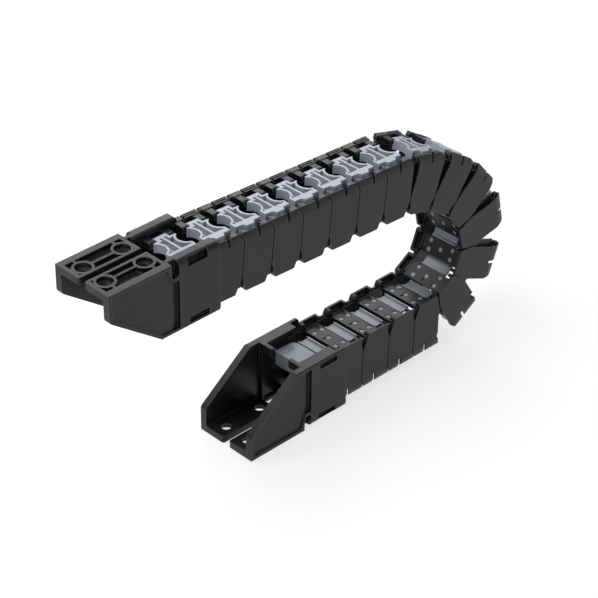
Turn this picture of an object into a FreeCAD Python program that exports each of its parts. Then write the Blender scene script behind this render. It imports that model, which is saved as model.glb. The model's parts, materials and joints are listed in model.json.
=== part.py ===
import FreeCAD, Part
import math
import os

from FreeCAD import Placement, Rotation, Vector

# Cable drag chain with its two end brackets, in millimetres.
# Every link is drawn in its own frame: x runs along the chain from pin to pin, y across it,
# and z from the pin line towards the outer radius. The part's frame has +X along the chain
# away from the brackets, +Y to the far side, +Z up and its origin at the middle of the fixed
# bracket's bolt pattern, on the floor.

# Link
pitch = 20.0
link_width = 34.0
inner_drop = 8.4
outer_rise = 25.0
edge_bevel = 2.0
inner_set_back = 3.4
seam_gap = 0.4
seam_at_pin = 0.7
seam_bulge = 1.6
seam_bulge_height = 19.8
seam_ear = 0.6
seam_radius = 3.0

# Hinge: outer skin, tongue of the link before, inner leaf with the pin
skin = 1.2
tongue_thickness = 1.1
leaf = 1.0
side_gap = 0.15
pin_radius = 4.0
pin_clearance = 0.05
pin_end_gap = 0.1
tongue_radius = 6.3
leaf_radius = 5.5
tongue_root = 7.2
leaf_end = 13.2
leaf_overhang = 2.0
leaf_foot = 5.0
web_top = 20.2
nose_radius = 1.8

# Cross plate on the inner radius
plate_depth = 4.0
plate_thickness = 1.8
plate_start = 5.2
plate_end = 15.2
hole_radius = 1.4
hole_row = 2.7
hole_reach = 7.9
return_length = 2.0
return_height = 1.7

# Snap-in bar on the outer radius
bar_height = 5.0
bar_proud = 0.2
bar_half_length = 8.0
bar_floor = 1.4
bar_rim = 1.1
bar_end_gap = 1.3
leg_gap = 0.8
land_width = 3.9
scallop_radius = 6.0
lobe_inset = 3.0
bar_neck = 3.2
bar_tab = 4.1
bar_leg = 1.1
bar_leg_drop = 2.4
bar_seat_gap = 0.1

# Bar hinge
hinge_inset = 5.6
hinge_drop = 2.3
barrel_radius = 2.1
stub_radius = 1.1
stub_length = 1.2
stub_clearance = 0.1
knuckle_gap = 0.25
knuckle_length = 3.8

# Bar seat
seat_ledge = 1.9
seat_width = 2.5
pocket_width = 2.0
pocket_start = 3.4
post_width = 1.6
post_length = 1.6
pry_slot_start = 10.6
pry_slot_width = 1.9
pry_slot_depth = 6.2
far_block_width = 0.8
far_block_depth = 2.1
far_slot_width = 0.9
far_slot_depth = 2.0
far_notch_start = 8.0
far_notch_width = 1.3

# End brackets
bracket_proud = 2.4
panel_gap = 0.25
panel_overlap = 3.8
panel_length = 21.0
panel_inner = 10.4
panel_bevel = 1.6
moving_panel_rise = 30.4
fixed_panel_rise = 28.0
gap_slot_width = 4.0
gap_slot_bottom = 20.0
groove_depth = 2.2
arm_end = 65.0
arm_thickness = 4.0
arm_front_height = 14.4
slope_start = 31.5
rim = 1.8
field_depth = 1.0
foot_rise = 28.4
foot_start = 27.0
foot_thickness = 3.8
foot_slot = 4.0
pocket_depth = 2.6
foot_outer_rim = 3.0
foot_inner_rim = 1.6
bolt_first = 33.4
bolt_pitch = 24.0
bolt_spread = 16.0
bolt_radius = 2.75
ring_outer = 5.6
ring_inner = 4.2
rib = 1.2
window_start = 2.5
window_length = 12.6
outer_window_height = 5.0
inner_window_height = 3.4

# Tie plate on the bracket's inner side
tie_past_panel = 2.2
tie_length = 12.2
tie_shoulder = 6.0
tie_side_gap = 0.3
tie_tongue_inset = 2.4
tie_round = 6.0
tie_proud = 0.2
tie_height = 5.0
tie_wall = 1.3
hook_start = 2.4
hook_reach = 6.0
hook_length = 4.2
hook_gap = 0.1
tie_ledge = 2.0
tie_ledge_thickness = 1.5

# Pose: bend of each hinge in degrees, from the moving bracket to the fixed one
bends = [2.8, 0, 0, 0, 0, 0, 0, 12.8, 16.9, 16.7, 28.5, 33.5, 36.3, 32.5, 0, 0, 0, 0]

# Layers of one side wall, measured out from the middle of the chain
half_width = link_width / 2
skin_inside = half_width - skin
tongue_outside = skin_inside - side_gap
tongue_inside = tongue_outside - tongue_thickness
leaf_outside = tongue_inside - side_gap
wall_inside = leaf_outside - leaf
bracket_side = half_width + bracket_proud
bar_top = outer_rise + bar_proud
bar_bottom = bar_top - bar_height
seat_top = bar_bottom - bar_seat_gap
mid = pitch / 2
seat_reach = wall_inside - seat_width
bar_end = wall_inside - bar_end_gap
bar_shoulder = seat_reach - leg_gap
bar_land = bar_shoulder - land_width
hinge_offset = wall_inside - hinge_inset
hinge_height = bar_top - hinge_drop
bar_lobe = hinge_offset - lobe_inset
slot_end = panel_length + gap_slot_width
tie_front = panel_length + tie_past_panel
tie_back = tie_front - tie_length
tie_half_width = wall_inside - tie_side_gap
tie_tongue = wall_inside - tie_tongue_inset


def wire(corners, place):
    """Closed outline through (u, v, radius) corners, each rounded by its radius."""
    points = [Vector(c[0], c[1], 0) for c in corners]
    turns = []
    for k, here in enumerate(points):
        radius = corners[k][2] if len(corners[k]) > 2 else 0
        back = (points[k - 1] - here).normalize()
        ahead = (points[(k + 1) % len(points)] - here).normalize()
        if radius:
            half = back.getAngle(ahead) / 2
            bisector = (back + ahead).normalize()
            reach = radius / math.tan(half)
            middle = here + bisector * (radius / math.sin(half) - radius)
            turns.append((here + back * reach, middle, here + ahead * reach))
        else:
            turns.append((here, None, here))
    edges = []
    for k, (start, middle, end) in enumerate(turns):
        if middle:
            edges.append(Part.Arc(place(start), place(middle), place(end)).toShape())
        following = turns[(k + 1) % len(turns)][0]
        if (following - end).Length > 1e-6:
            edges.append(Part.makeLine(place(end), place(following)))
    return Part.Wire(edges)


def across(corners, y0, y1):
    """Outline in x and z, carried across the chain from y0 to y1."""
    face = Part.Face(wire(corners, lambda p: Vector(p.x, y0, p.y)))
    return face.extrude(Vector(0, y1 - y0, 0))


def along(corners, x0, x1):
    """Outline in y and z, carried along the chain from x0 to x1."""
    face = Part.Face(wire(corners, lambda p: Vector(x0, p.x, p.y)))
    return face.extrude(Vector(x1 - x0, 0, 0))


def upright(corners, z0, z1):
    """Outline in x and y, carried up from z0 to z1."""
    face = Part.Face(wire(corners, lambda p: Vector(p.x, p.y, z0)))
    return face.extrude(Vector(0, 0, z1 - z0))


def block(x0, x1, y0, y1, z0, z1):
    return Part.makeBox(x1 - x0, y1 - y0, z1 - z0, Vector(x0, y0, z0))


def cross_pin(x, z, radius, y0, y1):
    return Part.makeCylinder(radius, y1 - y0, Vector(x, y0, z), Vector(0, 1, 0))


def joined(shapes):
    return shapes[0].fuse(shapes[1:]).removeSplitter()


def other_side(shape):
    return shape.mirror(Vector(0, 0, 0), Vector(0, 1, 0))


def seam(x, shift):
    """Edge between two links from the outer radius down, moved by shift from the seam's middle."""
    return [
        (x - seam_ear + shift, outer_rise),
        (x + seam_bulge + shift, seam_bulge_height, seam_radius + shift),
        (x + seam_at_pin + shift, 0),
    ]


def skin_outline():
    left = seam(0, seam_gap / 2) + [(inner_set_back, -inner_drop)]
    right = seam(pitch, -seam_gap / 2) + [(pitch - inner_set_back, -inner_drop)]
    return left + right[::-1]


def hinge_leaf():
    """Inner leaf that reaches back past the pin, with the pin on it."""
    band = across(
        [
            (-leaf_overhang, 0),
            (-leaf_overhang, web_top),
            (leaf_end, web_top),
            (leaf_end, -leaf_foot),
            (0, -leaf_foot),
        ],
        wall_inside,
        leaf_outside,
    )
    lobe = cross_pin(0, 0, leaf_radius, wall_inside, leaf_outside)
    pin = cross_pin(0, 0, pin_radius, wall_inside, tongue_outside - pin_end_gap)
    web = block(tongue_root, leaf_end, wall_inside, skin_inside, -leaf_foot, web_top)
    return [band, lobe, pin, web]


def hinge_tongue():
    """Tongue under the next link's skin, round the next pin."""
    core = across(
        [
            (tongue_root, -leaf_foot),
            (pitch - inner_set_back + 1.1, -leaf_foot),
            (pitch, 0),
            (pitch, web_top + seam_gap),
            (tongue_root, web_top + seam_gap),
        ],
        tongue_inside,
        skin_inside,
    )
    disc = cross_pin(pitch, 0, tongue_radius, tongue_inside, tongue_outside)
    return [core, disc]


def tongue_hole():
    radius = pin_radius + pin_clearance
    return cross_pin(pitch, 0, radius, tongue_inside - 1, skin_inside)


def outer_bevel(x0, x1, side, rise, bevel):
    """Corner to take off along the outer edge of a wall."""
    corners = [
        (side - bevel, rise),
        (side, rise - bevel),
        (side + 1, rise - bevel),
        (side + 1, rise + 1),
        (side - bevel, rise + 1),
    ]
    return along(corners, x0, x1)


def inner_return(x, inwards):
    """Thick end of the skin's inner edge, next to the V between two links."""
    slant = return_height * (inner_set_back - seam_at_pin) / inner_drop
    corners = [
        (x, -inner_drop),
        (x + inwards * return_length, -inner_drop),
        (x + inwards * return_length, -inner_drop + return_height),
        (x - inwards * slant, -inner_drop + return_height),
    ]
    return across(corners, wall_inside, skin_inside)


def link_wall():
    """One side of a link, without what its bar needs."""
    top = block(
        seam_at_pin + seam_gap,
        pitch - nose_radius,
        wall_inside,
        skin_inside,
        web_top,
        outer_rise,
    )
    nose = cross_pin(1.0, outer_rise - 2.0, nose_radius, wall_inside, skin_inside - side_gap)
    parts = [across(skin_outline(), skin_inside, half_width)]
    parts += hinge_leaf() + hinge_tongue() + [top, nose]
    parts += [inner_return(inner_set_back, 1), inner_return(pitch - inner_set_back, -1)]
    tools = [tongue_hole(), outer_bevel(-5, pitch + 5, half_width, outer_rise, edge_bevel)]
    return joined(parts).cut(tools)


def knuckle(x0, blind_from):
    """Arm from the far wall that carries one stub of the bar's hinge."""
    low = hinge_height - barrel_radius
    high = hinge_height + barrel_radius - 0.4
    corners = [
        (wall_inside + 0.5, low),
        (wall_inside + 0.5, high),
        (hinge_offset - barrel_radius, high, barrel_radius - 0.4),
        (hinge_offset - barrel_radius, low, barrel_radius - 0.1),
    ]
    arm = along(corners, x0, x0 + knuckle_length)
    hole = Part.makeCylinder(
        stub_radius + stub_clearance,
        stub_length + 0.2,
        Vector(blind_from[0], hinge_offset, hinge_height),
        Vector(blind_from[1], 0, 0),
    )
    return arm.cut(hole)


def bar_hinge_seat():
    """Both knuckles of the far side."""
    inner = bar_tab + knuckle_gap
    left = knuckle(mid - inner - knuckle_length, (mid - inner, -1))
    right = knuckle(mid + inner, (mid + inner, 1))
    return [left, right]


def bar_snap_seat():
    """Ledge and end posts of the near side, on the +y side before it is mirrored."""
    ledge = block(
        pocket_start,
        pitch - pocket_start,
        seat_reach,
        wall_inside + 0.5,
        seat_top - seat_ledge,
        seat_top,
    )
    low = web_top + seam_gap
    posts = [
        block(x, x + post_length, wall_inside - post_width, wall_inside + 0.5, low,
              outer_rise - 0.3)
        for x in (seam_at_pin + seam_gap, pitch - pocket_start)
    ]
    return [ledge] + posts


def snap_pocket(side):
    """Dark recess behind the bar's snap end, open to the pry slot in the outer face."""
    pocket = block(
        pocket_start,
        pitch - pocket_start,
        wall_inside - 0.5,
        side - pocket_width,
        seat_top,
        outer_rise + 1,
    )
    slot = block(
        pry_slot_start,
        pry_slot_start + pry_slot_width,
        side - pocket_width - 0.5,
        half_width + 1,
        outer_rise - pry_slot_depth,
        outer_rise + 1,
    )
    return [pocket, slot]


def far_edge_slots():
    """Two long slots and the cross notch in the far wall's outer edge."""
    start = far_notch_start + far_notch_width
    bottom = outer_rise - far_slot_depth
    slots = [
        block(start, pitch - nose_radius - 0.5, y, y + far_slot_width, bottom, outer_rise + 1)
        for y in (wall_inside, skin_inside - 0.6)
    ]
    notch = block(
        far_notch_start, start, 0, half_width + 1, outer_rise - far_slot_depth, outer_rise + 1
    )
    return slots + [notch]


def link_body():
    """Moulded link: two hinged walls and the drilled cross plate."""
    wall = link_wall()
    far_block = block(
        seam_at_pin + seam_gap,
        pitch - nose_radius,
        wall_inside - far_block_width,
        wall_inside + 0.5,
        outer_rise - far_block_depth,
        outer_rise,
    )
    far = joined([wall, far_block] + bar_hinge_seat()).cut(far_edge_slots())
    near = other_side(joined([wall] + bar_snap_seat()).cut(snap_pocket(half_width)))
    low = -inner_drop + plate_depth
    plate = joined(
        [
            block(
                plate_start, leaf_end, -wall_inside - 0.3, wall_inside + 0.3,
                low, low + plate_thickness,
            ),
            block(
                leaf_end, plate_end, -wall_inside + 0.2, wall_inside - 0.2,
                low, low + plate_thickness,
            ),
        ]
    )
    spots = [(0, 0)]
    spots += [(dx, dy) for dx in (-hole_row, hole_row) for dy in (-hole_reach, hole_reach)]
    holes = [
        Part.makeCylinder(hole_radius, 4, Vector(mid + dx, dy, low - 1)) for dx, dy in spots
    ]
    return joined([far, near, plate]).cut(holes)


def bar():
    """Openable bar: hinged tab, waist between two scallops, snap end with its leg."""
    half = bar_half_length
    outline = [
        (mid - bar_tab, hinge_offset),
        (mid + bar_tab, hinge_offset),
        (mid + bar_tab, bar_lobe + 1.2),
        (mid + bar_neck, bar_lobe + 0.2),
        (mid + half - 1, bar_lobe, 0.8),
        (mid + half + 0.3, bar_lobe - 2.0, 0.8),
        (mid + half + 0.3, -bar_land),
        (mid + half, -bar_shoulder),
        (mid + bar_tab, -bar_shoulder),
        (mid + bar_tab - 1, -bar_end),
        (mid - bar_tab + 1, -bar_end),
        (mid - bar_tab, -bar_shoulder),
        (mid - half, -bar_shoulder),
        (mid - half - 0.3, -bar_land),
        (mid - half - 0.3, bar_lobe - 2.0, 0.8),
        (mid - half + 1, bar_lobe, 0.8),
        (mid - bar_neck, bar_lobe + 0.2),
        (mid - bar_tab, bar_lobe + 1.2),
    ]
    body = upright(outline, bar_bottom, bar_top)
    scallops = [
        Part.makeCylinder(scallop_radius, 8, Vector(x, -0.6, bar_bottom - 1)) for x in (0, pitch)
    ]
    tab_step = block(
        mid - bar_tab - 1, mid + bar_tab + 1, bar_lobe + 0.9, hinge_offset + 1,
        bar_bottom - 1, hinge_height - barrel_radius,
    )
    tab_top = block(
        mid - bar_tab - 1, mid + bar_tab + 1, bar_lobe + 0.9, hinge_offset + 1,
        hinge_height + barrel_radius, bar_top + 1,
    )
    body = body.cut(scallops + [tab_step, tab_top])
    inset = half + 0.3 - bar_rim
    well = block(mid - inset, mid + inset, -bar_land, bar_lobe - bar_rim,
                 bar_bottom + bar_floor, bar_top + 1)
    spared = [
        Part.makeCylinder(scallop_radius + bar_rim, 9, Vector(x, -0.6, bar_bottom - 1))
        for x in (0, pitch)
    ]
    spine = block(mid - bar_rim / 2, mid + bar_rim / 2, -bar_land - 1, bar_lobe + 1,
                  bar_bottom, bar_top)
    body = body.cut(well.cut(spared + [spine]))
    barrel = Part.makeCylinder(
        barrel_radius, 2 * bar_tab, Vector(mid - bar_tab, hinge_offset, hinge_height),
        Vector(1, 0, 0),
    )
    stubs = Part.makeCylinder(
        stub_radius, 2 * (bar_tab + knuckle_gap + stub_length),
        Vector(mid - bar_tab - knuckle_gap - stub_length, hinge_offset, hinge_height),
        Vector(1, 0, 0),
    )
    leg = block(
        mid - half + 1, mid + half - 1, -bar_shoulder, -bar_shoulder + bar_leg,
        bar_bottom - bar_leg_drop, bar_bottom + 1,
    )
    return joined([body, barrel, stubs, leg])


def bracket_wall(panel_rise):
    """Side wall of a bracket, drawn away from the chain: its pin is at x = 0."""
    front = arm_end
    wall = across(
        [
            (seam_at_pin, -panel_inner),
            (slope_start, -panel_inner, 2.0),
            (front, arm_front_height - 1, 3.0),
            (front, foot_rise),
            (panel_length + gap_slot_width / 2, foot_rise),
            (panel_length + gap_slot_width / 2, panel_rise),
            (seam_at_pin, panel_rise),
        ],
        bracket_side - arm_thickness,
        bracket_side,
    )
    inner_wall = block(
        tongue_root, panel_length + gap_slot_width, wall_inside, bracket_side - 1,
        -panel_inner, outer_rise,
    )
    flap = block(-panel_overlap, seam_at_pin + 1, half_width + panel_gap, bracket_side,
                 -panel_inner, panel_rise)
    top = block(seam_at_pin + seam_gap, tongue_root + 1, wall_inside, bracket_side - 1,
                web_top + seam_gap, outer_rise)
    return [wall_beyond(wall, panel_rise), inner_wall, flap, top]


def bracket_foot():
    """Half of the mounting foot, with ribbed pockets and two screw bosses."""
    inner = foot_slot / 2
    plate = upright(
        [
            (foot_start, inner),
            (arm_end, inner, 1.5),
            (arm_end, bracket_side),
            (foot_start, bracket_side),
        ],
        foot_rise - foot_thickness,
        foot_rise,
    )
    well = block(
        foot_start + rim, arm_end - rim - 0.4, inner + foot_inner_rim,
        bracket_side - foot_outer_rim, foot_rise - pocket_depth, foot_rise + 1,
    )
    y = bolt_spread / 2
    spots = [bolt_first, bolt_first + bolt_pitch]
    kept = [
        Part.makeCylinder(ring_outer, 9, Vector(x, y, foot_rise - 6)) for x in spots
    ]
    kept += [block(spots[0], spots[1], y - rib / 2, y + rib / 2, foot_rise - 6, foot_rise + 2)]
    kept += [
        block(x - rib / 2, x + rib / 2, y, bracket_side, foot_rise - 6, foot_rise + 2)
        for x in spots
    ]
    recesses = [
        Part.makeCylinder(ring_inner, 9, Vector(x, y, foot_rise - pocket_depth)) for x in spots
    ]
    holes = [Part.makeCylinder(bolt_radius, 20, Vector(x, y, foot_rise - 10)) for x in spots]
    return plate.cut([well.cut(kept)] + recesses + holes)


def bracket_cuts(panel_rise):
    """Gap between panel and foot, groove, recessed field, windows and bevels."""
    gap = across(
        [
            (panel_length, panel_rise + 1),
            (panel_length, gap_slot_bottom, 1.6),
            (slot_end, gap_slot_bottom, 1.6),
            (slot_end, panel_rise + 1),
        ],
        wall_inside - 1,
        bracket_side + 1,
    )
    groove = block(
        panel_length, slot_end - 0.6, bracket_side - groove_depth,
        bracket_side + 1, -panel_inner + rim, gap_slot_bottom - 1.4,
    )
    field = across(
        [
            (slot_end - 0.7, -panel_inner + rim),
            (slope_start - 0.4, -panel_inner + rim),
            (arm_end - rim, arm_front_height - 0.2, 2.0),
            (arm_end - rim, foot_rise - rim),
            (foot_start + rim, foot_rise - rim),
            (slot_end - 0.7, gap_slot_bottom - 1.4),
        ],
        bracket_side - field_depth,
        bracket_side + 1,
    )
    windows = [
        block(window_start, window_start + window_length, skin_inside - 0.5, bracket_side + 1,
              low, low + height)
        for low, height in (
            (panel_rise - 2.2 - outer_window_height, outer_window_height),
            (-panel_inner + 2.4, inner_window_height),
        )
    ]
    x0, x1 = -panel_overlap - 1, panel_length + 1
    top = outer_bevel(x0, x1, bracket_side, panel_rise, panel_bevel)
    bottom = outer_bevel(x0, slope_start, bracket_side, panel_inner, panel_bevel / 2)
    bottom = bottom.mirror(Vector(0, 0, 0), Vector(0, 0, 1))
    return [gap, groove, field, top, bottom] + windows


def tie_seat():
    """Hook over the tie plate's corner and the ledge under its end."""
    top = -inner_drop - tie_proud
    hook_from = tie_front - hook_start
    hook = upright(
        [
            (hook_from, bracket_side - 1),
            (hook_from, hook_reach, 1.0),
            (hook_from + hook_length, hook_reach, 1.0),
            (hook_from + hook_length, bracket_side - 1),
        ],
        -panel_inner,
        top - hook_gap,
    )
    low = top + tie_height + hook_gap
    reach = tie_half_width - tie_ledge
    ledge = block(
        tie_front - tie_shoulder, tie_front, reach, wall_inside + 0.5, low,
        low + tie_ledge_thickness,
    )
    stop = block(
        tie_front + hook_gap, slot_end, reach, wall_inside + 0.5, top - hook_gap,
        low + tie_ledge_thickness,
    )
    return [hook, ledge, stop]


def bracket_half(panel_rise, has_tongue, far):
    own_skin = across(skin_outline(), skin_inside, half_width + panel_gap + 0.5)
    if has_tongue:
        turned = [
            s.mirror(Vector(mid, 0, 0), Vector(1, 0, 0)) for s in hinge_tongue() + [own_skin]
        ]
        parts = bracket_wall(panel_rise) + turned
        holes = [tongue_hole().mirror(Vector(mid, 0, 0), Vector(1, 0, 0))]
    else:
        parts = bracket_wall(panel_rise) + [own_skin] + hinge_leaf()
        holes = []
    parts += tie_seat() + [bracket_foot()]
    if far:
        parts += bar_hinge_seat()
    else:
        parts += bar_snap_seat()
        holes += [snap_pocket(half_width)[0]]
    return joined(parts).cut(bracket_cuts(panel_rise) + holes)


def wall_beyond(wall, panel_rise):
    """The bracket's wall without the room that the hinged link swings in."""
    room = block(
        -1, tongue_root, half_width - 5, half_width + panel_gap, -panel_inner - 1, panel_rise + 1
    )
    return wall.cut(room)


def tie_plate():
    """Tie plate with its rounded tongue, hollow towards the cables."""
    top = -inner_drop - tie_proud
    shoulder = tie_front - tie_shoulder
    body = upright(
        [
            (tie_front, -tie_half_width),
            (tie_front, tie_half_width),
            (shoulder, tie_half_width, 1.0),
            (shoulder, tie_tongue),
            (tie_back, tie_tongue, tie_round),
            (tie_back, -tie_tongue, tie_round),
            (shoulder, -tie_tongue),
            (shoulder, -tie_half_width, 1.0),
        ],
        top,
        top + tie_height,
    )
    inside = tie_tongue - tie_wall
    hollow = upright(
        [
            (tie_front - tie_wall, -inside),
            (tie_front - tie_wall, inside),
            (tie_back + tie_wall, inside, tie_round - tie_wall),
            (tie_back + tie_wall, -inside, tie_round - tie_wall),
        ],
        top + tie_wall,
        top + tie_height + 1,
    )
    return body.cut(hollow)


def link_frames():
    """Placement of link 0 (moving bracket) to link 18 (fixed bracket), pin at its start."""
    turns = [0.0]
    for bend in bends:
        turns.append(turns[-1] + bend)
    start = Vector(bolt_first + bolt_pitch / 2, 0, foot_rise)
    frames = [Placement(start, Rotation(Vector(0, 1, 0), turns[-1]))]
    for turn in turns[-2::-1]:
        rotation = Rotation(Vector(0, 1, 0), turn)
        start = start - rotation.multVec(Vector(pitch, 0, 0))
        frames.insert(0, Placement(start, rotation))
    return frames


def placed(shape, placement):
    moved = shape.copy()
    moved.Placement = placement.multiply(moved.Placement)
    return moved


def build():
    frames = link_frames()
    last = len(bends)
    nodes = {}
    link = link_body()
    cross_bar = bar()
    for k in range(1, last):
        nodes["link_%02d" % k] = placed(link, frames[k])
    for k in range(last + 1):
        nodes["bar_%02d" % k] = placed(cross_bar, frames[k])
    for name, frame, rise, tongue in (
        ("moving", frames[0], moving_panel_rise, True),
        ("fixed", frames[last], fixed_panel_rise, False),
    ):
        for side, far in (("far", True), ("near", False)):
            half = bracket_half(rise, tongue, far)
            nodes["bracket_%s_%s" % (name, side)] = set_bracket(half, frame, tongue, not far)
        nodes["tie_%s" % name] = set_bracket(tie_plate(), frame, tongue, False)
    return nodes


def set_bracket(shape, frame, at_start, near):
    """Turns a bracket piece to its end of the chain and to its side."""
    if near:
        shape = other_side(shape)
    if at_start:
        shape = shape.mirror(Vector(mid, 0, 0), Vector(1, 0, 0))
    return placed(shape, frame)


def main():
    os.makedirs("parts", exist_ok=True)
    for name, shape in build().items():
        shape.exportStep("parts/%s.step" % name)
        box = shape.BoundBox
        print(name, shape.ShapeType, len(shape.Solids), shape.isValid(),
              "%.1f mm3" % shape.Volume, "%.1f %.1f %.1f" % (box.XMin, box.YMin, box.ZMin),
              "%.1f %.1f %.1f" % (box.XMax, box.YMax, box.ZMax))


main()
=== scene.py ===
import json
import math

import bmesh
import bpy
from mathutils import Matrix, Vector


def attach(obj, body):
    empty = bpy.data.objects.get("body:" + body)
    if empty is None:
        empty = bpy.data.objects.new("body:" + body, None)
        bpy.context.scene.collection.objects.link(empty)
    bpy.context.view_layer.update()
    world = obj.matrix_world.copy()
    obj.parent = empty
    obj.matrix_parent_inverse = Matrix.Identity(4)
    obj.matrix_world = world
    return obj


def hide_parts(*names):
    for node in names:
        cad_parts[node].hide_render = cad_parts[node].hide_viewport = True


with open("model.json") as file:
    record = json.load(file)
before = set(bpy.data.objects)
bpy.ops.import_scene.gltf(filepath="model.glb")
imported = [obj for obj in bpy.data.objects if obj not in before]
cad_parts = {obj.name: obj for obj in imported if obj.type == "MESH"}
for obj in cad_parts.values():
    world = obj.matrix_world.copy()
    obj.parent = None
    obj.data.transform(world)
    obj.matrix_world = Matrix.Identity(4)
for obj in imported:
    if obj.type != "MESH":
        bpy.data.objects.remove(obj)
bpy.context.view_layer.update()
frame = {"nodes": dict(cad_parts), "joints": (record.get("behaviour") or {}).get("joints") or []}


# Sizes in millimetres, in each link's own frame

# Reach of a cutting shape past a surface, and of a joined shape into its neighbour
over = 1.0
lap = 1.0
bite = 0.5
sliver = 0.01

# Facets of curves: degrees in an arc's step, and sides of a cylinder
arc_step = 12.0
fewest_sides = 16
most_sides = 48
sides_per_mm = 10

# Place along the chain of the fixed bracket, where the moving one is 0
last = 18

# Link
pitch = 20.0
link_width = 34.0
inner_drop = 8.4
outer_rise = 25.0
edge_bevel_in = 0.9
edge_bevel_down = 2.2
inner_set_back = 3.4
inner_round = 1.0
seam_gap = 0.8
seam_at_pin = 0.7
seam_bulge = 1.6
seam_bulge_height = 19.8
seam_ear = 0.6
seam_radius = 3.0

# Hinge: outer skin, tongue of the link before, inner leaf with the pin
skin = 1.2
tongue_thickness = 1.1
leaf = 1.0
side_gap = 0.15
pin_radius = 4.0
pin_clearance = 0.05
pin_end_gap = 0.1
tongue_radius = 6.3
leaf_radius = 5.5
tongue_root = 7.2
leaf_end = 13.2
leaf_overhang = 1.7
leaf_foot = 5.0
tongue_foot_reach = 1.1
web_top = 20.2
nose_radius = 1.8
nose_place = 1.0
nose_drop = 2.0

# Cross plate on the inner radius
plate_depth = 4.0
plate_thickness = 1.8
plate_start = 5.2
plate_end = 15.2
plate_lap = 0.3
plate_side_gap = 0.2
hole_radius = 1.5
hole_row = 2.7
hole_reach = 7.9
return_length = 1.6
return_height = 1.7
mark_start = 1.6
mark_length = 2.2
mark_width = 1.0
mark_depth = 0.8

# Inner bar under the cross plate, with its bosses in the plate's holes
strip_start = -2.8
strip_end = 4.4
strip_rim = 0.8
strip_rim_height = 1.4
strip_height = 0.4
inner_bar_thickness = 1.0
inner_bar_end = 14.8
inner_bar_side_gap = 3.8
strip_side_gap = 4.8
boss_clearance = 0.2
boss_short = 0.3

# Snap-in bar on the outer radius
bar_height = 5.0
bar_top = 25.2
bar_half_length = 8.0
bar_floor = 1.4
bar_rim = 1.1
bar_end_gap = 1.2
bar_end_half_width = 2.4
leg_gap = 0.8
land_width = 2.8
scallop_radius = 5.6
scallop_shift = 0.6
lobe_inset = 3.2
lobe_taper = 1.0
lobe_length = 2.0
bar_corner = 0.8
bar_swell = 0.3
bar_neck = 3.5
bar_neck_step = 0.2
bar_tab = 3.7
tab_root = 1.2
tab_step = 0.9
tab_well = 2.2
tab_well_inset = 1.6
bar_leg = 1.1
bar_leg_inset = 1.0
bar_leg_drop = 2.4
bar_seat_gap = 0.1
scallop_tool = 8.0
kept_tool = 9.0

# Bar hinge
hinge_inset = 5.6
hinge_drop = 2.3
barrel_radius = 2.1
stub_radius = 1.1
stub_length = 1.2
stub_clearance = 0.1
knuckle_gap = 0.25
knuckle_length = 3.8
knuckle_flat = 0.4
knuckle_round_gap = 0.1
stub_end_gap = 0.2

# Bar seat
seat_ledge = 1.9
seat_width = 2.5
pocket_lip = 1.4
pocket_start = 3.9
pocket_end = 14.1
post_width = 1.6
post_length = 1.6
post_inset = 3.4
post_drop = 0.3
pry_slot_start = 10.4
pry_slot_width = 2.0
pry_slot_depth = 5.6
pry_slot_round = 0.9
far_block_width = 0.8
far_block_depth = 2.1
far_slot_width = 0.9
far_slot_depth = 2.0
far_slot_outer = 0.6
far_slot_end_gap = 0.5
far_notch_depth = 6.2
far_notch_start = 8.0
far_notch_width = 1.3

# End brackets
bracket_proud = 2.4
panel_gap = 0.25
panel_overlap = 4.3
panel_length = 21.6
panel_inner = 10.8
panel_bevel = 0.5
panel_round = 3.0
panel_corner = 2.0
panel_below_foot = 0.2
cap_inset = 1.6
cap_round = 1.4
cap_gap = 0.25
cap_reach = 2.4
gap_slot_width = 4.8
gap_slot_bottom = 20.0
gap_slot_round = 1.6
groove_depth = 2.2
groove_end_gap = 0.6
arm_end = 65.0
arm_thickness = 4.0
arm_front_height = 14.4
arm_front_drop = 1.0
arm_round = 3.0
slope_start = 33.0
slope_round = 2.0
rim = 1.8
field_depth = 1.0
field_start_gap = 0.7
field_slope_gap = 0.4
field_front_drop = 0.2
field_round = 2.0
foot_rise = 28.4
foot_start = 27.0
foot_thickness = 3.8
foot_slot = 4.0
foot_round = 1.5
pocket_depth = 2.6
foot_outer_rim = 3.0
foot_inner_rim = 1.6
foot_well_end_gap = 0.4
bolt_first = 33.4
bolt_pitch = 24.0
bolt_spread = 16.0
bolt_radius = 2.75
ring_outer = 5.6
ring_inner = 4.2
rib = 1.2
kept_drop = 6.0
bolt_tool_drop = 10.0
bolt_tool = 20.0
outer_window_start = 3.6
inner_window_start = 3.0
window_length = 12.6
outer_window_depth = 3.2
inner_window_depth = 1.9
outer_window_height = 4.7
inner_window_height = 3.3
outer_window_edge = 0.4
inner_window_edge = 1.6

# Flange and hooks along the bracket's inner edge
flange_start = 2.5
flange_thickness = 1.1
flange_inset = 1.2
hook_reach = 6.2
hook_width = 2.2
hook_height = 4.8
hook_round = 0.8

# Tie plate between the bracket halves
tie_level = 3.7
tie_start = 5.2
tie_length = 13.6
tie_thickness = 1.6
tie_side_gap = 2.2
tie_round = 4.1
tie_wall = 1.5
tie_front_height = 8.5
tie_rib_height = 3.2
tie_gap = 0.1
tie_ledge = 2.4
tie_ledge_thickness = 1.5

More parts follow.
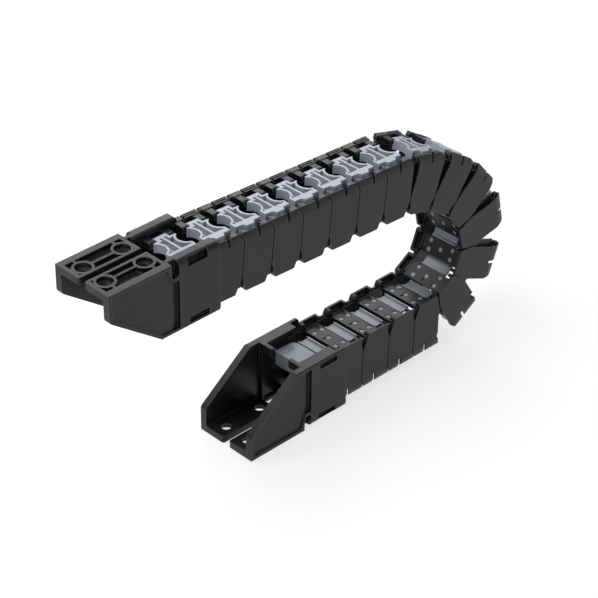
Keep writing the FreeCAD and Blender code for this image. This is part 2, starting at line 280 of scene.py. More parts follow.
# Layers of one side wall, measured out from the middle of the chain
half_width = link_width / 2
skin_inside = half_width - skin
tongue_outside = skin_inside - side_gap
tongue_inside = tongue_outside - tongue_thickness
leaf_outside = tongue_inside - side_gap
wall_inside = leaf_outside - leaf
bracket_side = half_width + bracket_proud
bar_bottom = bar_top - bar_height
seat_top = bar_bottom - bar_seat_gap
mid = pitch / 2
plate_low = -inner_drop + plate_depth
plate_high = plate_low + plate_thickness
inner_bar_high = plate_high + inner_bar_thickness
seat_reach = wall_inside - seat_width
bar_end = wall_inside - bar_end_gap
bar_shoulder = seat_reach - leg_gap
bar_land = bar_shoulder - land_width
hinge_offset = wall_inside - hinge_inset
hinge_height = bar_top - hinge_drop
bar_lobe = hinge_offset - lobe_inset
panel_rise = foot_rise - panel_below_foot
slot_end = panel_length + gap_slot_width
tie_end = tie_start + tie_length


# Solid modelling

class Solid:
    """Closed mesh in a link's frame, in millimetres, that can be joined, cut and mirrored."""

    def __init__(self, mesh):
        self.mesh = mesh

    def combined(self, tools, operation):
        objects = [bpy.data.objects.new("work", s.mesh) for s in [self] + list(tools)]
        for item in objects:
            bpy.context.collection.objects.link(item)
        base = objects[0]
        for tool in objects[1:]:
            step = base.modifiers.new("step", "BOOLEAN")
            step.operation = operation
            step.solver = "EXACT"
            step.object = tool
        bpy.context.view_layer.update()
        view = bpy.context.evaluated_depsgraph_get()
        mesh = bpy.data.meshes.new_from_object(base.evaluated_get(view))
        for item in objects:
            bpy.data.objects.remove(item)
        return Solid(mesh)

    def cut(self, tools):
        return self.combined(tools if isinstance(tools, list) else [tools], "DIFFERENCE")

    def mirror(self, point, normal):
        mesh = self.mesh.copy()
        flip = Matrix.Scale(-1.0, 4, normal)
        mesh.transform(Matrix.Translation(point) @ flip @ Matrix.Translation(-point))
        mesh.flip_normals()
        return Solid(mesh)


def prism(outline, sweep):
    """Solid between a flat outline and the same outline moved by sweep."""
    work = bmesh.new()
    first = [work.verts.new(p) for p in outline]
    second = [work.verts.new(p + sweep) for p in outline]
    work.faces.new(first)
    work.faces.new(second[::-1])
    for k in range(len(first)):
        j = (k + 1) % len(first)
        work.faces.new((first[j], first[k], second[k], second[j]))
    bmesh.ops.recalc_face_normals(work, faces=work.faces)
    mesh = bpy.data.meshes.new("solid")
    work.to_mesh(mesh)
    work.free()
    return Solid(mesh)


def rounded(corners):
    """Outline through (u, v, radius) corners, each rounded by its radius."""
    points = [Vector((c[0], c[1])) for c in corners]
    outline = []
    for k, here in enumerate(points):
        radius = corners[k][2] if len(corners[k]) > 2 else 0
        if not radius:
            outline.append(here)
            continue
        back = (points[k - 1] - here).normalized()
        ahead = (points[(k + 1) % len(points)] - here).normalized()
        half = back.angle(ahead) / 2
        centre = here + (back + ahead).normalized() * (radius / math.sin(half))
        start = here + back * (radius / math.tan(half)) - centre
        end = here + ahead * (radius / math.tan(half)) - centre
        steps = max(2, math.ceil(start.angle(end) / math.radians(arc_step)))
        turn = start.angle_signed(end)
        for n in range(steps + 1):
            outline.append(centre + Matrix.Rotation(-turn * n / steps, 2) @ start)
    return outline


def across(corners, y0, y1):
    """Outline in x and z, carried across the chain from y0 to y1."""
    outline = [Vector((p.x, y0, p.y)) for p in rounded(corners)]
    return prism(outline, Vector((0, y1 - y0, 0)))


def along(corners, x0, x1):
    """Outline in y and z, carried along the chain from x0 to x1."""
    outline = [Vector((x0, p.x, p.y)) for p in rounded(corners)]
    return prism(outline, Vector((x1 - x0, 0, 0)))


def upright(corners, z0, z1):
    """Outline in x and y, carried up from z0 to z1."""
    outline = [Vector((p.x, p.y, z0)) for p in rounded(corners)]
    return prism(outline, Vector((0, 0, z1 - z0)))


def cylinder(radius, length, start, direction=(0, 0, 1)):
    """Round bar of a length from its start, upright where no direction is given."""
    axis = Vector(direction)
    side = axis.orthogonal().normalized() * radius
    count = max(fewest_sides, min(most_sides, int(radius * sides_per_mm)))
    ring = [start + Matrix.Rotation(math.tau * n / count, 3, axis) @ side for n in range(count)]
    return prism(ring, axis * length)


def joined(shapes):
    """One solid of several."""
    return shapes[0].combined(shapes[1:], "UNION")


def block(x0, x1, y0, y1, z0, z1):
    return upright([(x0, y0), (x1, y0), (x1, y1), (x0, y1)], z0, z1)


def cross_pin(x, z, radius, y0, y1):
    return cylinder(radius, y1 - y0, Vector((x, y0, z)), Vector((0, 1, 0)))


def other_side(shape):
    return shape.mirror(Vector((0, 0, 0)), Vector((0, 1, 0)))


def seam(x, shift):
    """Edge between two links from the outer radius down, moved by shift from the seam's middle."""
    return [
        (x - seam_ear + shift, outer_rise),
        (x + seam_bulge + shift, seam_bulge_height, seam_radius + shift),
        (x + seam_at_pin + shift, 0),
    ]


def skin_outline():
    """Outer skin of a link's side wall, between its two seams."""
    left = seam(0, seam_gap / 2) + [(inner_set_back, -inner_drop, inner_round)]
    right = seam(pitch, -seam_gap / 2) + [(pitch - inner_set_back, -inner_drop, inner_round)]
    return left + right[::-1]


def hinge_leaf():
    """Inner leaf that reaches back past the pin, with the pin on it."""
    band = across(
        [
            (-leaf_overhang, 0),
            (-leaf_overhang, web_top),
            (leaf_end, web_top),
            (leaf_end, -leaf_foot),
            (0, -leaf_foot),
        ],
        wall_inside,
        leaf_outside,
    )
    lobe = cross_pin(0, 0, leaf_radius, wall_inside, leaf_outside)
    pin = cross_pin(0, 0, pin_radius, wall_inside, tongue_outside - pin_end_gap)
    web = block(tongue_root, leaf_end, wall_inside, skin_inside, -leaf_foot, web_top)
    return [band, lobe, pin, web]


def hinge_tongue():
    """Tongue under the next link's skin, round the next pin."""
    core = across(
        [
            (tongue_root, -leaf_foot),
            (pitch - inner_set_back + tongue_foot_reach, -leaf_foot),
            (pitch, 0),
            (pitch, web_top + seam_gap),
            (tongue_root, web_top + seam_gap),
        ],
        tongue_inside,
        skin_inside,
    )
    disc = cross_pin(pitch, 0, tongue_radius, tongue_inside, tongue_outside)
    return [core, disc]


def tongue_hole():
    """Hole in the tongue for the next link's pin."""
    radius = pin_radius + pin_clearance
    return cross_pin(pitch, 0, radius, tongue_inside - over, skin_inside)


def outer_bevel(x0, x1, side, rise, inwards, down):
    """Corner to take off along the outer edge of a wall."""
    corners = [
        (side - inwards, rise),
        (side, rise - down),
        (side + over, rise - down),
        (side + over, rise + over),
        (side - inwards, rise + over),
    ]
    return along(corners, x0, x1)


def outer_round(x0, x1, side, rise, radius):
    """Corner to take off where a wall's outer edge is rounded."""
    corner = block(x0, x1, side - radius, side + over, rise - radius, rise + over)
    core = cylinder(
        radius, x1 - x0, Vector((x0, side - radius, rise - radius)), Vector((1, 0, 0))
    )
    return corner.cut(core)


def inner_return(x, inwards):
    """Thick end of the skin's inner edge, next to the V between two links."""
    slant = return_height * (inner_set_back - seam_at_pin) / inner_drop
    corners = [
        (x, -inner_drop, inner_round),
        (x + inwards * return_length, -inner_drop),
        (x + inwards * return_length, -inner_drop + return_height),
        (x - inwards * slant, -inner_drop + return_height),
    ]
    return across(corners, wall_inside, skin_inside)


def link_wall():
    """One side of a link, without what its bar needs."""
    top = block(
        seam_at_pin + seam_gap,
        pitch - nose_radius,
        wall_inside,
        skin_inside,
        web_top,
        outer_rise,
    )
    nose = cross_pin(
        nose_place, outer_rise - nose_drop, nose_radius, wall_inside, skin_inside - side_gap,
    )
    parts = [across(skin_outline(), skin_inside, half_width)]
    parts += hinge_leaf() + hinge_tongue() + [top, nose]
    parts += [inner_return(inner_set_back, 1), inner_return(pitch - inner_set_back, -1)]
    bevel = outer_bevel(-5, pitch + 5, half_width, outer_rise, edge_bevel_in, edge_bevel_down)
    tools = [tongue_hole(), bevel]
    return joined(parts).cut(tools)


def knuckle(x0, blind_from):
    """Arm from the far wall that carries one stub of the bar's hinge."""
    low = hinge_height - barrel_radius
    high = hinge_height + barrel_radius - knuckle_flat
    corners = [
        (wall_inside + bite, low),
        (wall_inside + bite, high),
        (hinge_offset - barrel_radius, high, barrel_radius - knuckle_flat),
        (hinge_offset - barrel_radius, low, barrel_radius - knuckle_round_gap),
    ]
    arm = along(corners, x0, x0 + knuckle_length)
    hole = cylinder(
        stub_radius + stub_clearance,
        stub_length + stub_end_gap,
        Vector((blind_from[0], hinge_offset, hinge_height)),
        Vector((blind_from[1], 0, 0)),
    )
    return arm.cut(hole)


def bar_hinge_seat():
    """Both knuckles of the far side."""
    inner = bar_tab + knuckle_gap
    left = knuckle(mid - inner - knuckle_length, (mid - inner, -1))
    right = knuckle(mid + inner, (mid + inner, 1))
    return [left, right]


def bar_snap_seat():
    """Ledge and end posts of the near side, on the +y side before it is mirrored."""
    ledge = block(
        post_inset,
        pitch - post_inset,
        seat_reach,
        wall_inside + bite,
        seat_top - seat_ledge,
        seat_top,
    )
    low = web_top + seam_gap
    posts = [
        block(x, x + post_length, wall_inside - post_width, wall_inside + bite, low,
              outer_rise - post_drop)
        for x in (seam_at_pin + seam_gap, pitch - post_inset)
    ]
    return [ledge] + posts


def snap_pocket(side):
    """Dark recess behind the bar's snap end, open to the pry slot in the outer face."""
    pocket = block(
        pocket_start,
        pocket_end,
        wall_inside - bite,
        side - pocket_lip,
        seat_top,
        outer_rise + over,
    )
    slot = across(
        [
            (pry_slot_start, outer_rise + over),
            (pry_slot_start, outer_rise - pry_slot_depth, pry_slot_round),
            (pry_slot_start + pry_slot_width, outer_rise - pry_slot_depth, pry_slot_round),
            (pry_slot_start + pry_slot_width, outer_rise + over),
        ],
        side - pocket_lip - bite,
        half_width + over,
    )
    return [pocket, slot]


def far_edge_slots():
    """Two long slots and the cross notch in the far wall's outer edge."""
    start = far_notch_start + far_notch_width
    bottom = outer_rise - far_slot_depth
    end = pitch - nose_radius - far_slot_end_gap
    slots = [
        block(start, end, y, y + far_slot_width, bottom, outer_rise + over)
        for y in (wall_inside, skin_inside - far_slot_outer)
    ]
    notch = block(
        far_notch_start, start, wall_inside - far_block_width - over, half_width + over,
        outer_rise - far_notch_depth, outer_rise + over,
    )
    return slots + [notch]


def link_body():
    """Moulded link: two hinged walls and the drilled cross plate."""
    wall = link_wall()
    far_block = block(
        seam_at_pin + seam_gap,
        pitch - nose_radius,
        wall_inside - far_block_width,
        wall_inside + bite,
        outer_rise - far_block_depth,
        outer_rise,
    )
    far = joined([wall, far_block] + bar_hinge_seat()).cut(far_edge_slots())
    near = other_side(joined([wall] + bar_snap_seat()).cut(snap_pocket(half_width)))
    plate = joined(
        [
            block(
                plate_start, leaf_end, -wall_inside - plate_lap, wall_inside + plate_lap,
                plate_low, plate_high,
            ),
            block(
                leaf_end, plate_end, -wall_inside + plate_side_gap, wall_inside - plate_side_gap,
                plate_low, plate_high,
            ),
        ]
    )
    holes = [
        cylinder(hole_radius, plate_thickness + 2 * over, Vector((x, y, plate_low - over)))
        for x, y in hole_spots()
    ]
    mark = block(
        mid + mark_start, mid + mark_start + mark_length, mark_width / 3,
        mark_width / 3 + mark_width, plate_low - over, plate_low + mark_depth,
    )
    return joined([far, near, plate]).cut(holes + [mark])


def hole_spots():
    """Centre hole and four corner holes of the cross plate."""
    spots = [(mid, 0)]
    spots += [(mid + dx, dy) for dx in (-hole_row, hole_row) for dy in (-hole_reach, hole_reach)]
    return spots


def inner_strip(end):
    """Rimmed strip that closes the inner side between two cross plates."""
    top = plate_high - strip_height
    rim_top = plate_high - strip_rim_height
    corners = [
        (strip_start, inner_bar_high),
        (strip_start, rim_top),
        (strip_start + strip_rim, rim_top),
        (strip_start + strip_rim, top),
        (strip_end - strip_rim, top),
        (strip_end - strip_rim, rim_top),
        (strip_end, rim_top),
        (strip_end, plate_high),
        (end, plate_high),
        (end, inner_bar_high),
    ]
    return across(corners, -wall_inside + strip_side_gap, wall_inside - strip_side_gap)


def inner_bar():
    """Pale bar clipped under the cross plate, with five bosses in the plate's holes."""
    reach = wall_inside - inner_bar_side_gap
    under = block(strip_end + strip_rim, inner_bar_end, -reach, reach, plate_high, inner_bar_high)
    bosses = [
        cylinder(
            hole_radius - boss_clearance, plate_thickness - boss_short + bite,
            Vector((x, y, plate_low + boss_short)),
        )
        for x, y in hole_spots()
    ]
    return joined([inner_strip(inner_bar_end), under] + bosses)


def bar():
    """Openable bar: hinged tab, waist between two scallops, snap end with its leg."""
    half = bar_half_length
    outline = [
        (mid - bar_tab, hinge_offset),
        (mid + bar_tab, hinge_offset),
        (mid + bar_tab, bar_lobe + tab_root),
        (mid + bar_neck, bar_lobe + bar_neck_step),
        (mid + half - lobe_taper, bar_lobe, bar_corner),
        (mid + half + bar_swell, bar_lobe - lobe_length, bar_corner),
        (mid + half + bar_swell, -bar_land),
        (mid + half, -bar_shoulder),
        (mid + bar_tab, -bar_shoulder),
        (mid + bar_end_half_width, -bar_end),
        (mid - bar_end_half_width, -bar_end),
        (mid - bar_tab, -bar_shoulder),
        (mid - half, -bar_shoulder),
        (mid - half - bar_swell, -bar_land),
        (mid - half - bar_swell, bar_lobe - lobe_length, bar_corner),
        (mid - half + lobe_taper, bar_lobe, bar_corner),
        (mid - bar_neck, bar_lobe + bar_neck_step),
        (mid - bar_tab, bar_lobe + tab_root),
    ]
    body = upright(outline, bar_bottom, bar_top)
    scallops = [
        cylinder(scallop_radius, scallop_tool, Vector((x, -scallop_shift, bar_bottom - over)))
        for x in (0, pitch)
    ]
    under_tab = block(
        mid - bar_tab - over, mid + bar_tab + over, bar_lobe + tab_step, hinge_offset + over,
        bar_bottom - over, hinge_height - barrel_radius,
    )
    over_tab = block(
        mid - bar_tab - over, mid + bar_tab + over, bar_lobe + tab_step, hinge_offset + over,
        hinge_height + barrel_radius, bar_top + over,
    )
    body = body.cut(scallops + [under_tab, over_tab])
    inset = half + bar_swell - bar_rim
    well = block(mid - inset, mid + inset, -bar_land, bar_lobe - bar_rim,
                 bar_bottom + bar_floor, bar_top + over)
    spared = [
        cylinder(
            scallop_radius + bar_rim, kept_tool, Vector((x, -scallop_shift, bar_bottom - over)),
        )
        for x in (0, pitch)
    ]
    spine = block(mid - bar_rim / 2, mid + bar_rim / 2, -bar_land - over, hinge_offset,
                  bar_bottom, bar_top)
    tab_pocket = block(mid - tab_well, mid + tab_well, bar_lobe - bar_rim - bite,
                       hinge_offset - tab_well_inset, bar_bottom + bar_floor, bar_top + over)
    body = body.cut([well.cut(spared + [spine]), tab_pocket.cut(spine)])
    barrel = cylinder(
        barrel_radius, 2 * bar_tab, Vector((mid - bar_tab, hinge_offset, hinge_height)),
        Vector((1, 0, 0)),
    )
    stubs = cylinder(
        stub_radius, 2 * (bar_tab + knuckle_gap + stub_length),
        Vector((mid - bar_tab - knuckle_gap - stub_length, hinge_offset, hinge_height)),
        Vector((1, 0, 0)),
    )
    leg = block(
        mid - half + bar_leg_inset, mid + half - bar_leg_inset, -bar_shoulder,
        -bar_shoulder + bar_leg, bar_bottom - bar_leg_drop, bar_bottom + lap,
    )
    return joined([body, barrel, stubs, leg])


def bracket_wall():
    """Side wall of a bracket, drawn away from the chain: its pin is at x = 0."""
    wall = across(
        [
            (seam_at_pin, -panel_inner),
            (slope_start, -panel_inner, slope_round),
            (arm_end, arm_front_height - arm_front_drop, arm_round),
            (arm_end, foot_rise),
            (slot_end - lap, foot_rise),
            (slot_end - lap, panel_rise),
            (seam_at_pin, panel_rise),
        ],
        bracket_side - arm_thickness,
        bracket_side,
    )
    inner_wall = block(
        tongue_root, slot_end, wall_inside, bracket_side - lap, -panel_inner, panel_rise
    )
    flap = across(
        [
            (-panel_overlap, -panel_inner, panel_corner),
            (seam_at_pin + lap, -panel_inner),
            (seam_at_pin + lap, panel_rise),
            (-panel_overlap, panel_rise, panel_corner),
        ],
        half_width + panel_gap,
        bracket_side,
    )
    cap = across(
        [
            (-panel_overlap, outer_rise + cap_gap),
            (panel_length + cap_reach, outer_rise + cap_gap),
            (panel_length + cap_reach, panel_rise, panel_corner / 2),
            (-panel_overlap, panel_rise, panel_corner),
        ],
        wall_inside - cap_inset,
        bracket_side - lap,
    )
    top = block(seam_at_pin + seam_gap, tongue_root + lap, wall_inside, bracket_side - lap,
                web_top + seam_gap, outer_rise + cap_gap + bite)
    flange = block(flange_start, slot_end, wall_inside - flange_inset, bracket_side - lap,
                   -panel_inner, -panel_inner + flange_thickness)
    return [wall_beyond(wall), inner_wall, flap, cap, top, flange]


def bracket_foot():
    """Half of the mounting foot, with ribbed pockets and two screw bosses."""
    inner = foot_slot / 2
    plate = upright(
        [
            (foot_start, inner),
            (arm_end, inner, foot_round),
            (arm_end, bracket_side),
            (foot_start, bracket_side),
        ],
        foot_rise - foot_thickness,
        foot_rise,
    )
    well = block(
        foot_start + rim, arm_end - rim - foot_well_end_gap, inner + foot_inner_rim,
        bracket_side - foot_outer_rim, foot_rise - pocket_depth, foot_rise + over,
    )
    y = bolt_spread / 2
    spots = [bolt_first, bolt_first + bolt_pitch]
    low = foot_rise - kept_drop
    high = foot_rise + 2 * over
    kept = [cylinder(ring_outer, kept_tool, Vector((x, y, low))) for x in spots]
    kept += [block(spots[0], spots[1], y - rib / 2, y + rib / 2, low, high)]
    kept += [block(x - rib / 2, x + rib / 2, y, bracket_side, low, high) for x in spots]
    recesses = [
        cylinder(ring_inner, kept_tool, Vector((x, y, foot_rise - pocket_depth))) for x in spots
    ]
    holes = [
        cylinder(bolt_radius, bolt_tool, Vector((x, y, foot_rise - bolt_tool_drop)))
        for x in spots
    ]
    return plate.cut([well.cut(kept)] + recesses + holes)


def bracket_cuts():
    """Gap between panel and foot, groove, recessed field, windows and bevels."""
    gap = across(
        [
            (panel_length, panel_rise + over),
            (panel_length, gap_slot_bottom, gap_slot_round),
            (slot_end, gap_slot_bottom, gap_slot_round),
            (slot_end, panel_rise + over),
        ],
        bracket_side - arm_thickness,
        bracket_side + over,
    )
    groove = block(
        panel_length, slot_end - groove_end_gap, bracket_side - groove_depth,
        bracket_side + over,
        -panel_inner + rim, gap_slot_bottom - rim,
    )
    field = across(
        [
            (slot_end - field_start_gap, -panel_inner + rim),
            (slope_start - field_slope_gap, -panel_inner + rim),
            (arm_end - rim, arm_front_height - field_front_drop, field_round),
            (arm_end - rim, foot_rise - rim),
            (foot_start + rim, foot_rise - rim),
            (slot_end - field_start_gap, gap_slot_bottom - rim),
        ],
        bracket_side - field_depth,
        bracket_side + over,
    )
    windows = [
        block(start, start + window_length, bracket_side - depth, bracket_side + over,
              low, low + height)
        for start, low, height, depth in (
            (outer_window_start, panel_rise - outer_window_edge - outer_window_height,
             outer_window_height, outer_window_depth),
            (inner_window_start, -panel_inner + inner_window_edge, inner_window_height,
             inner_window_depth),
        )
    ]
    x0, x1 = -panel_overlap - over, panel_length + sliver
    top = outer_round(x0, x1, bracket_side, panel_rise, panel_round)
    roll = outer_round(x0, x1 + cap_reach, cap_inset - wall_inside, panel_rise, cap_round)
    roll = roll.mirror(Vector((0, 0, 0)), Vector((0, 1, 0)))
    bottom = outer_bevel(x0, slope_start, bracket_side, panel_inner, panel_bevel, panel_bevel)
    bottom = bottom.mirror(Vector((0, 0, 0)), Vector((0, 0, 1)))
    return [gap, groove, field, top, roll, bottom] + windows


def tie_seat():
    """Hook at the flange's end, and the stop and ledge round the tie plate's front wall."""
    hook = upright(
        [
            (slot_end, bracket_side - lap),
            (slot_end, hook_reach, hook_round),
            (slot_end - hook_width, hook_reach, hook_round),
            (slot_end - hook_width, bracket_side - lap),
        ],
        -panel_inner,
        -panel_inner + hook_height,
    )
    low = tie_front_height - tie_level + tie_gap
    reach = wall_inside - tie_ledge
    ledge = block(tie_end - tie_wall, tie_end + tie_gap, reach, wall_inside + bite,
                  low, low + tie_ledge_thickness)
    stop = block(tie_end + tie_gap, tie_end + tie_gap + tie_ledge_thickness, reach,
                 wall_inside + bite, -tie_level, low + tie_ledge_thickness)
    return [hook, ledge, stop]


def bracket_half(has_tongue, far):
    """Half of a bracket on the +y side, with its end of the hinge and its side of the bar."""
    own_skin = across(skin_outline(), skin_inside, half_width + panel_gap + bite)
    if has_tongue:
        turned = [
            s.mirror(Vector((mid, 0, 0)), Vector((1, 0, 0))) for s in hinge_tongue() + [own_skin]
        ]
        parts = bracket_wall() + turned
        holes = [tongue_hole().mirror(Vector((mid, 0, 0)), Vector((1, 0, 0)))]
    else:
        parts = bracket_wall() + [own_skin] + hinge_leaf()
        holes = []
    parts += tie_seat() + [bracket_foot()]
    if far:
        parts += bar_hinge_seat()
    else:
        parts += bar_snap_seat()
        holes += [snap_pocket(half_width)[0]]
    return joined(parts).cut(bracket_cuts() + holes)


def wall_beyond(wall):
    """The bracket's wall without the room that the hinged link swings in."""
    room = block(
        -over, tongue_root, bracket_side - arm_thickness - over, half_width + panel_gap,
        -panel_inner - over, panel_rise + over,
    )
    return wall.cut(room)


def tie_plate(with_strip):
    """Tie plate with rounded corners, ribs along its sides and a tall front wall."""
    side = wall_inside - tie_side_gap
    inside = side - tie_wall
    plate = upright(
        [
            (tie_end, -side),
            (tie_end, side),
            (tie_start, side, tie_round),
            (tie_start, -side, tie_round),
        ],
        -tie_level,
        -tie_level + tie_rib_height,
    )
    hollow = upright(
        [
            (tie_end + over, -inside),
            (tie_end + over, inside),
            (tie_start + tie_wall, inside, tie_round - tie_wall),
            (tie_start + tie_wall, -inside, tie_round - tie_wall),
        ],
        -tie_level + tie_thickness,
        -tie_level + tie_rib_height + over,
    )
    reach = wall_inside - tie_gap
    front = block(tie_end - tie_wall, tie_end, -reach, reach, -tie_level,
                  -tie_level + tie_front_height)
    parts = [plate.cut(hollow), front]
    if with_strip:
        parts.append(inner_strip(tie_start + tie_wall))
    return joined(parts)


# Materials

cloud_scale = 60.0
cloud_detail = 3.0
grain_scale = 2600.0
grain_detail = 2.0
grain_depth = 0.00012
# Turn of the bevel normal over which the painted edge highlight fades in
edge_turn_start = 0.985
edge_turn_full = 0.8
smoother = 0.06
rougher = 0.08


def new_material(name):
    """Material with an empty Principled shader and its output."""
    material = bpy.data.materials.new(name)
    material.use_nodes = True
    tree = material.node_tree
    tree.nodes.clear()
    output = tree.nodes.new("ShaderNodeOutputMaterial")
    shader = tree.nodes.new("ShaderNodeBsdfPrincipled")
    tree.links.new(shader.outputs["BSDF"], output.inputs["Surface"])
    return material, tree, shader


def noise(tree, coords, scale, detail):
    node = tree.nodes.new("ShaderNodeTexNoise")
    node.inputs["Scale"].default_value = scale
    node.inputs["Detail"].default_value = detail
    tree.links.new(coords, node.inputs["Vector"])
    return node.outputs["Fac"]


def ramp(tree, value, stops):
    node = tree.nodes.new("ShaderNodeValToRGB")
    elements = node.color_ramp.elements
    while len(elements) < len(stops):
        elements.new(0.5)
    for element, (place, colour) in zip(elements, stops):
        element.position = place
        element.color = (*colour, 1.0)
    tree.links.new(value, node.inputs["Fac"])
    return node.outputs["Color"]


def math_node(tree, kind, a, b):
    node = tree.nodes.new("ShaderNodeMath")
    node.operation = kind
    for socket, value in zip(node.inputs, (a, b)):
        if isinstance(value, float):
            socket.default_value = value
        else:
            tree.links.new(value, socket)
    return node.outputs["Value"]


def moulded(name, dark, base, painted_highlight, rough, grain, edge, gloss):
    """Moulded plastic: fine grain, faint mottling, and a painted highlight along its edges that
    makes them look rounded.
    """
    material, tree, shader = new_material(name)
    coords = tree.nodes.new("ShaderNodeTexCoord").outputs["Object"]
    cloud = noise(tree, coords, cloud_scale, cloud_detail)
    fine = noise(tree, coords, grain_scale, grain_detail)
    mottled = ramp(tree, cloud, [(0.3, dark), (0.75, base)])
    bevel = tree.nodes.new("ShaderNodeBevel")
    bevel.samples = 4
    bevel.inputs["Radius"].default_value = edge
    geometry = tree.nodes.new("ShaderNodeNewGeometry")
    turn = tree.nodes.new("ShaderNodeVectorMath")
    turn.operation = "DOT_PRODUCT"
    tree.links.new(bevel.outputs["Normal"], turn.inputs[0])
    tree.links.new(geometry.outputs["True Normal"], turn.inputs[1])
    # Painted highlight: where the bevel normal turns away from the face, a paler colour is mixed
    # in along the edges
    highlight_mask = tree.nodes.new("ShaderNodeMapRange")
    highlight_mask.inputs["From Min"].default_value = edge_turn_start
    highlight_mask.inputs["From Max"].default_value = edge_turn_full
    tree.links.new(turn.outputs["Value"], highlight_mask.inputs["Value"])
    mix = tree.nodes.new("ShaderNodeMix")
    mix.data_type = "RGBA"
    tree.links.new(highlight_mask.outputs["Result"], mix.inputs["Factor"])
    tree.links.new(mottled, mix.inputs["A"])
    mix.inputs["B"].default_value = (*painted_highlight, 1.0)
    tree.links.new(mix.outputs["Result"], shader.inputs["Base Color"])
    roughness = tree.nodes.new("ShaderNodeMapRange")
    roughness.inputs["To Min"].default_value = rough - smoother
    roughness.inputs["To Max"].default_value = rough + rougher
    tree.links.new(cloud, roughness.inputs["Value"])
    tree.links.new(roughness.outputs["Result"], shader.inputs["Roughness"])
    bump = tree.nodes.new("ShaderNodeBump")
    bump.inputs["Strength"].default_value = grain
    bump.inputs["Distance"].default_value = grain_depth
    tree.links.new(fine, bump.inputs["Height"])
    tree.links.new(bevel.outputs["Normal"], bump.inputs["Normal"])
    tree.links.new(bump.outputs["Normal"], shader.inputs["Normal"])
    shader.inputs["Specular IOR Level"].default_value = gloss
    return material


# The third colour of each finish is its painted edge highlight
black = moulded(
    "moulded_black", (0.0042, 0.0042, 0.005), (0.0072, 0.0072, 0.0084), (0.095, 0.098, 0.112),
    0.36, 0.25, 0.0005, 0.29,
)
grey = moulded(
    "moulded_grey", (0.24, 0.257, 0.303), (0.285, 0.304, 0.357), (0.66, 0.68, 0.74),
    0.38, 0.18, 0.0004, 0.5,
)
pale = moulded(
    "moulded_pale", (0.165, 0.178, 0.205), (0.21, 0.225, 0.258), (0.48, 0.5, 0.54),
    0.36, 0.15, 0.0003, 0.5,
)
finish = {"link": black, "bracket": black, "bar": grey, "tie": pale}
for name, node in frame["nodes"].items():
    material = finish[name.split("_")[0]]
    for slot in node.material_slots:
        slot.material = material


# Pieces on the chain

millimetre = 0.001
sharp_angle = 32.0
pins = {j["name"]: Vector(j["pos_m"]) for j in frame["joints"]}


def link_place(k):
    """Frame of link k in metres, from the joints' places in the record."""
    if k == 0:
        start = pins["chain_hinge_00"] - Vector((pitch * millimetre, 0, 0))
        ahead = Vector((1, 0, 0))
    elif k == last:
        start = pins["chain_hinge_%02d" % (last - 1)]
        ahead = Vector((-1, 0, 0))
    else:
        start = pins["chain_hinge_%02d" % (k - 1)]
        ahead = (pins["chain_hinge_%02d" % k] - start).normalized()
    outward = Vector((-ahead.z, 0, ahead.x))
    turn = Matrix((ahead, Vector((0, 1, 0)), outward)).transposed()
    return Matrix.Translation(start) @ turn.to_4x4()


def finished_mesh(solid, name, material):
    """Mesh in metres with smooth curves and sharp corners."""
    mesh = solid.mesh
    mesh.name = name
    mesh.transform(Matrix.Scale(millimetre, 4))
    mesh.materials.clear()
    mesh.materials.append(material)
    for face in mesh.polygons:
        face.use_smooth = True
    mesh.set_sharp_from_angle(angle=math.radians(sharp_angle))
    return mesh


def put(name, mesh, place, body, node=None):
    """Piece on a body, with the node that it stands for."""
    piece = bpy.data.objects.new(name, mesh)
    bpy.context.collection.objects.link(piece)
    piece.matrix_world = place
    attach(piece, body)
    if node:
        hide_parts(node)


def dress_chain():
    """All bars, links, inner bars, bracket halves and tie plates."""
    bar_mesh = finished_mesh(bar(), "snap_bar", grey)
    inner_mesh = finished_mesh(inner_bar(), "inner_bar", pale)
    link_mesh = finished_mesh(link_body(), "moulded_link", black)
    for k in range(last + 1):
        name = "bar_%02d" % k
        put("snap_" + name, bar_mesh, link_place(k), name, name)
    for k in range(1, last):
        name = "link_%02d" % k
        put("moulded_" + name, link_mesh, link_place(k), name, name)
        put("inner_bar_%02d" % k, inner_mesh, link_place(k), name)
    for end, k, at_start in (("moving", 0, True), ("fixed", last, False)):
        body = end + "_bracket"
        for side, far in (("far", True), ("near", False)):
            half = bracket_half(at_start, far)
            if not far:
                half = other_side(half)
            if at_start:
                half = half.mirror(Vector((mid, 0, 0)), Vector((1, 0, 0)))
            node = "bracket_%s_%s" % (end, side)
            mesh = finished_mesh(half, "moulded_" + node, black)
            put("moulded_" + node, mesh, link_place(k), body, node)
        tie = tie_plate(not at_start)
        if at_start:
            tie = tie.mirror(Vector((mid, 0, 0)), Vector((1, 0, 0)))
        node = "tie_" + end
        mesh = finished_mesh(tie, "moulded_" + node, pale)
        put("moulded_" + node, mesh, link_place(k), body, node)


dress_chain()


# Floor and light

floor_reach = 6.0
floor_level = -0.0003
floor_white = 0.68


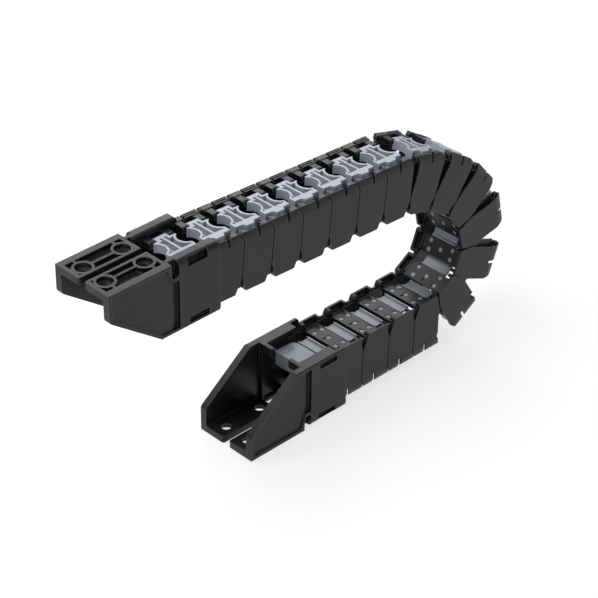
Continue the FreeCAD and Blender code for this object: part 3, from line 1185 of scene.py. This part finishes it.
def plain_floor():
    """Pale floor that looks nearly white and keeps the object's shadow."""
    mesh = bpy.data.meshes.new("floor")
    corners = [(-1, -1), (1, -1), (1, 1), (-1, 1)]
    mesh.from_pydata(
        [(x * floor_reach, y * floor_reach, floor_level) for x, y in corners],
        [], [(0, 1, 2, 3)],
    )
    floor = bpy.data.objects.new("floor", mesh)
    bpy.context.collection.objects.link(floor)
    material, tree, shader = new_material("floor_white")
    shader.inputs["Base Color"].default_value = (0.9, 0.9, 0.9, 1.0)
    shader.inputs["Roughness"].default_value = 0.9
    shader.inputs["Specular IOR Level"].default_value = 0.1
    white = tree.nodes.new("ShaderNodeEmission")
    mix = tree.nodes.new("ShaderNodeMixShader")
    seen = tree.nodes.new("ShaderNodeLightPath")
    direct = math_node(tree, "MAXIMUM", seen.outputs["Is Camera Ray"],
                       seen.outputs["Is Glossy Ray"])
    direct = math_node(tree, "MAXIMUM", direct, seen.outputs["Is Transmission Ray"])
    share = math_node(tree, "MULTIPLY", direct, floor_white)
    tree.links.new(share, mix.inputs["Fac"])
    tree.links.new(shader.outputs["BSDF"], mix.inputs[1])
    tree.links.new(white.outputs["Emission"], mix.inputs[2])
    output = next(n for n in tree.nodes if n.type == "OUTPUT_MATERIAL")
    tree.links.new(mix.outputs["Shader"], output.inputs["Surface"])
    mesh.materials.append(material)


def area_light(name, place, aim, size, power):
    light = bpy.data.lights.new(name, "AREA")
    light.shape = "RECTANGLE"
    light.size, light.size_y = size
    light.energy = power
    lamp = bpy.data.objects.new(name, light)
    lamp.location = place
    lamp.rotation_euler = (Vector(aim) - Vector(place)).to_track_quat("-Z", "Y").to_euler()
    bpy.context.collection.objects.link(lamp)


plain_floor()
middle = (0.04, 0.0, 0.07)
area_light("key", (-0.35, 0.25, 0.95), middle, (0.8, 0.6), 9.0)
area_light("fill", (-0.2, -1.1, 0.5), middle, (1.0, 0.8), 4.0)
area_light("back", (0.6, 0.8, 0.6), middle, (0.7, 0.5), 4.0)

world = bpy.data.worlds.new("studio")
world.use_nodes = True
world.node_tree.nodes["Background"].inputs["Color"].default_value = (1.0, 1.0, 1.0, 1.0)
world.node_tree.nodes["Background"].inputs["Strength"].default_value = 0.5
bpy.context.scene.world = world


# Camera

def photo_camera():
    """Camera where the photograph was taken from."""
    data = bpy.data.cameras.new("photo")
    data.sensor_width = 36.0
    data.lens = 132.24
    data.shift_x = 0.0171
    data.shift_y = 0.0018
    data.clip_start = 0.05
    data.clip_end = 50.0
    camera = bpy.data.objects.new("photo", data)
    yaw, tilt, roll = math.radians(45.756), math.radians(34.02), math.radians(0.478)
    forward = Vector((math.cos(tilt) * math.cos(yaw), math.cos(tilt) * math.sin(yaw),
                      -math.sin(tilt)))
    turned = forward.to_track_quat("-Z", "Y").to_matrix()
    camera.matrix_world = (
        Matrix.Translation((-0.6312, -0.6741, 0.7058))
        @ (turned @ Matrix.Rotation(roll, 3, "Z")).to_4x4()
    )
    bpy.context.collection.objects.link(camera)
    bpy.context.scene.camera = camera


photo_camera()
bpy.context.scene.view_settings.view_transform = "Standard"
